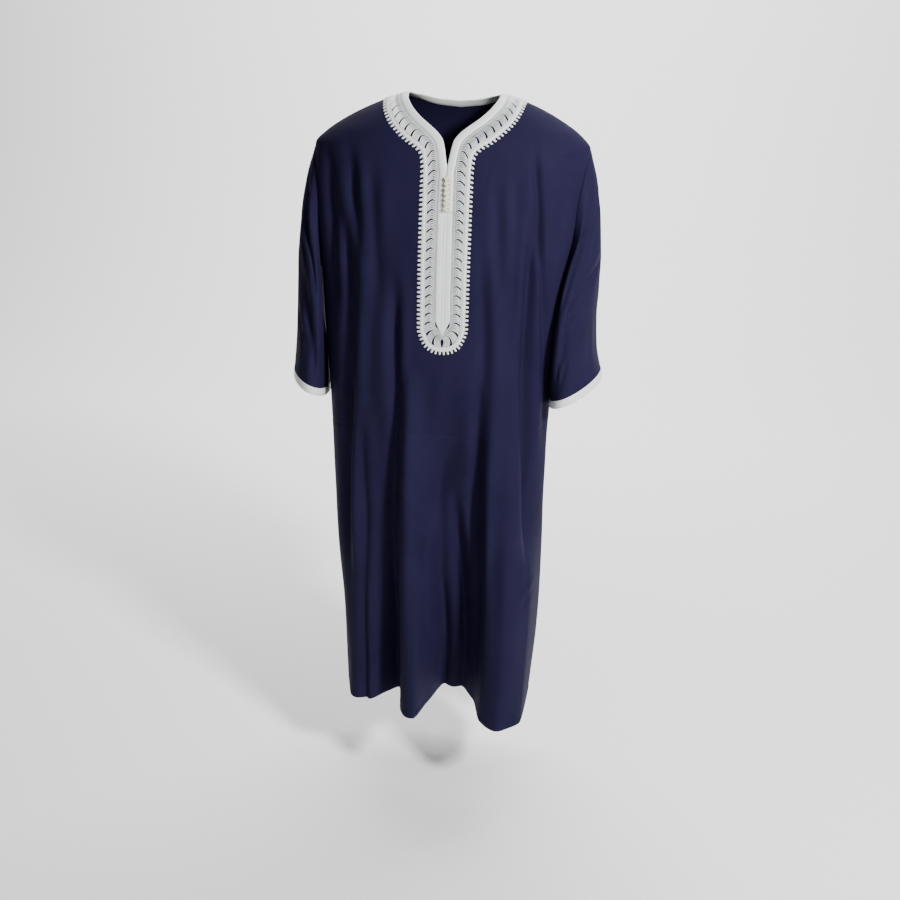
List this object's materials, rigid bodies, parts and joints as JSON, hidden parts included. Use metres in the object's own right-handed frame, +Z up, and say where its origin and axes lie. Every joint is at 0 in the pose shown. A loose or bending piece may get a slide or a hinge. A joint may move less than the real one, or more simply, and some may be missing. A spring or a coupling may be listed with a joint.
{
  "type": "djellaba",
  "caption": "Calf-length navy djellaba in the hoodless gandoura cut, white satin and embroidered comb-edged braid round the neck and front placket, ball buttons, elbow sleeves with white cuffs.",
  "frame": {"origin": "midway between the two points where the neckline crosses the shoulder line, where the garment is held on the shoulders", "axes": "+X to the wearer's left, -Y to the front, +Z up along the body"},
  "size_m": [0.6951, 0.3874, 1.368],
  "materials": {
    "navy_cloth": "smooth gabardine with a faint sheen",
    "white_satin": "smooth satin bias strip",
    "white_embroidery": "raised machine embroidery in satin stitch",
    "cream_knots": "knotted silky cord"
  },
  "bodies": {
    "root": {"front_panel": "navy_cloth", "back_panel": "navy_cloth", "sleeve_left": "navy_cloth", "sleeve_right": "navy_cloth", "cuff_binding_left": "white_satin", "cuff_binding_right": "white_satin", "braid": "white_embroidery", "neck_binding": "white_satin", "placket": "white_satin", "button_1": "cream_knots", "button_2": "cream_knots", "button_3": "cream_knots", "button_4": "cream_knots", "button_5": "cream_knots", "button_6": "cream_knots", "button_7": "cream_knots"}
  },
  "joints": []
}
